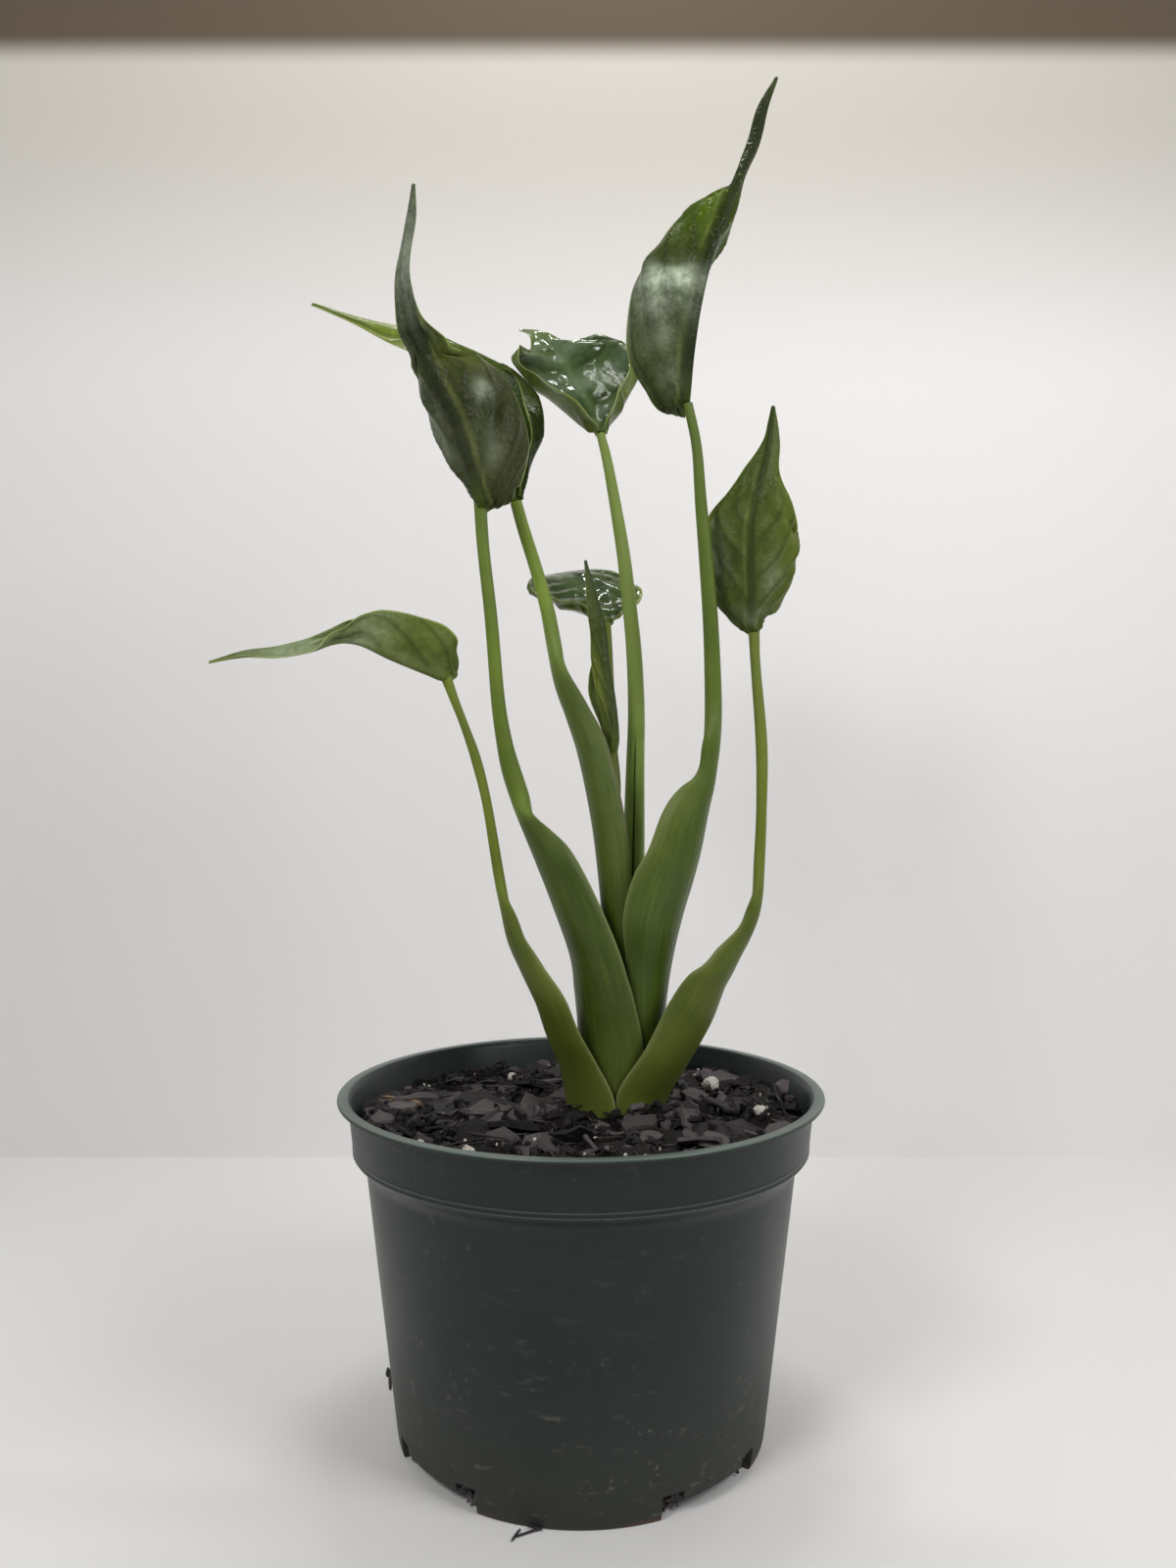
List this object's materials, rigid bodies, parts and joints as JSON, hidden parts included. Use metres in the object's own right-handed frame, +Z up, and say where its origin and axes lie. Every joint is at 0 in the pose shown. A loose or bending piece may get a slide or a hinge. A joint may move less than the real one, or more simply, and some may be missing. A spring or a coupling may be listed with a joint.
{
  "type": "potted plant",
  "caption": "Potted tiny dancer alocasia: slim stalks with cupped, tailed leaves rising from one crown in a tapered plastic nursery pot.",
  "frame": {"origin": "centre of the pot's underside, on the surface it stands on", "axes": "+Z up along the pot's axis, -Y towards the plant's front, +X to the right seen from the front"},
  "size_m": [0.2025, 0.165, 0.4538],
  "materials": {
    "pot_plastic": "satin",
    "mix": "matte",
    "bark": "matte",
    "perlite": "matte",
    "corm_skin": "matte",
    "stalk": "satin",
    "leaf": "satin"
  },
  "bodies": {
    "root": {"pot": "pot_plastic", "potting_mix": "mix", "bark_mulch": "bark", "perlite_1": "perlite", "perlite_2": "perlite", "perlite_3": "perlite", "perlite_4": "perlite", "perlite_5": "perlite", "perlite_6": "perlite", "corm": "corm_skin", "petiole_a": "stalk", "petiole_b": "stalk", "petiole_c": "stalk", "petiole_d": "stalk", "petiole_e": "stalk", "petiole_f": "stalk", "petiole_g": "stalk", "petiole_h": "stalk", "blade_a": "leaf", "blade_b": "leaf", "blade_c": "leaf", "blade_d": "leaf", "blade_e": "leaf", "blade_f": "leaf", "blade_g": "leaf", "blade_h": "leaf"}
  },
  "joints": []
}
